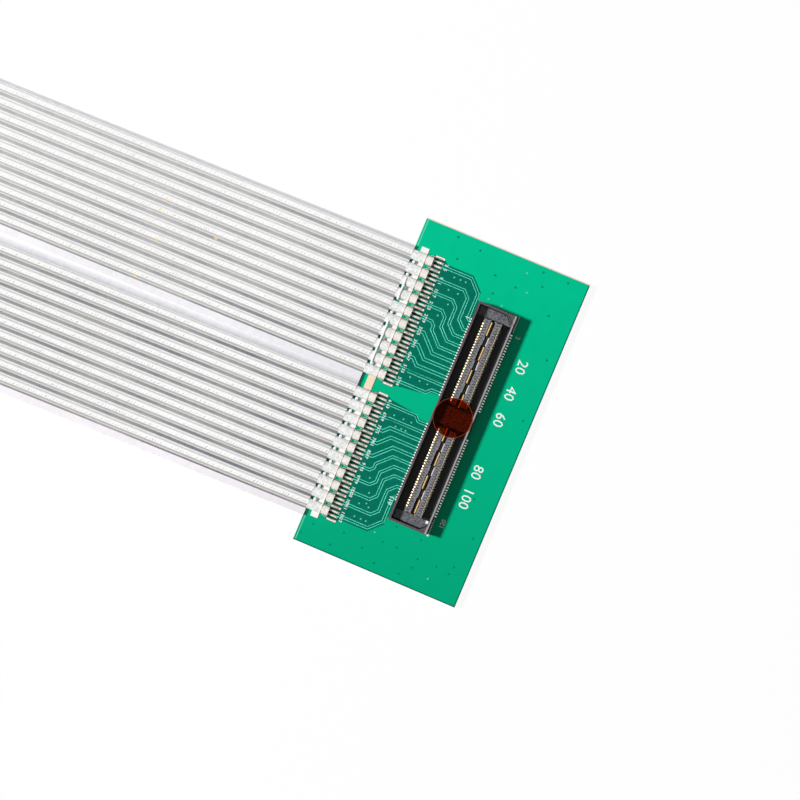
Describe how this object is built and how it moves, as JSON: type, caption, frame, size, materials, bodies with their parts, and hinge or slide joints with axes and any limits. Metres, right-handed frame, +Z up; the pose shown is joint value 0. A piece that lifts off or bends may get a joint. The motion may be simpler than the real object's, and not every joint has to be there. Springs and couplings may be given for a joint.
{
  "type": "high-speed cable assembly",
  "caption": "Flat high-speed cable assembly: small circuit boards with low rectangular contact sockets, joined by flat ribbons of shielded wire pairs soldered along one edge.",
  "frame": {"origin": "middle of the underside of the first circuit board, the one that the picture shows", "axes": "+X away from the cable, square to the soldered edge; +Y along the board's long side, towards the socket end with the larger cut corner; +Z up, the way the socket opens"},
  "size_m": [0.2268, 0.0616, 0.0049],
  "materials": {
    "green_board": "semi-gloss solder mask",
    "black_plastic": "moulded, matte",
    "gold_contact": "gold plated",
    "tinned_copper": "tinned, satin",
    "pair_wrap": "wrapped film, satin",
    "cream_insulation": "foamed polymer, matte",
    "clear_glue": "clear glue, gloss",
    "amber_film": "polyimide film, gloss",
    "ribbon_film": "laminated film over ridged pairs, satin"
  },
  "bodies": {
    "root": {"circuit_board": "green_board", "contacts_cable_side_1": "gold_contact", "contacts_cable_side_2": "gold_contact", "contacts_free_side_1": "gold_contact", "contacts_free_side_2": "gold_contact", "drain_wires_1": "tinned_copper", "drain_wires_2": "tinned_copper", "far_circuit_board": "green_board", "far_contacts_cable_side_1": "gold_contact", "far_contacts_cable_side_2": "gold_contact", "far_contacts_free_side_1": "gold_contact", "far_contacts_free_side_2": "gold_contact", "far_glue_bead_1": "clear_glue", "far_glue_bead_2": "clear_glue", "far_ground_blade_1": "gold_contact", "far_ground_blade_2": "gold_contact", "far_ground_strip": "tinned_copper", "far_pair_insulation_1": "cream_insulation", "far_pair_insulation_2": "cream_insulation", "far_pair_shields_1": "pair_wrap", "far_pair_shields_2": "pair_wrap", "far_socket_housing": "black_plastic", "glue_bead_1": "clear_glue", "glue_bead_2": "clear_glue", "ground_blade_1": "gold_contact", "ground_blade_2": "gold_contact", "ground_pads_1": "tinned_copper", "ground_pads_2": "tinned_copper", "ground_strip": "tinned_copper", "pair_insulation_1": "cream_insulation", "pair_insulation_2": "cream_insulation", "pair_shields_1": "pair_wrap", "pair_shields_2": "pair_wrap", "pickup_film": "amber_film", "ribbon_1": "ribbon_film", "ribbon_2": "ribbon_film", "signal_pads_1": "tinned_copper", "signal_pads_2": "tinned_copper", "signal_wires_1": "tinned_copper", "signal_wires_2": "tinned_copper", "socket_housing": "black_plastic"}
  },
  "joints": []
}
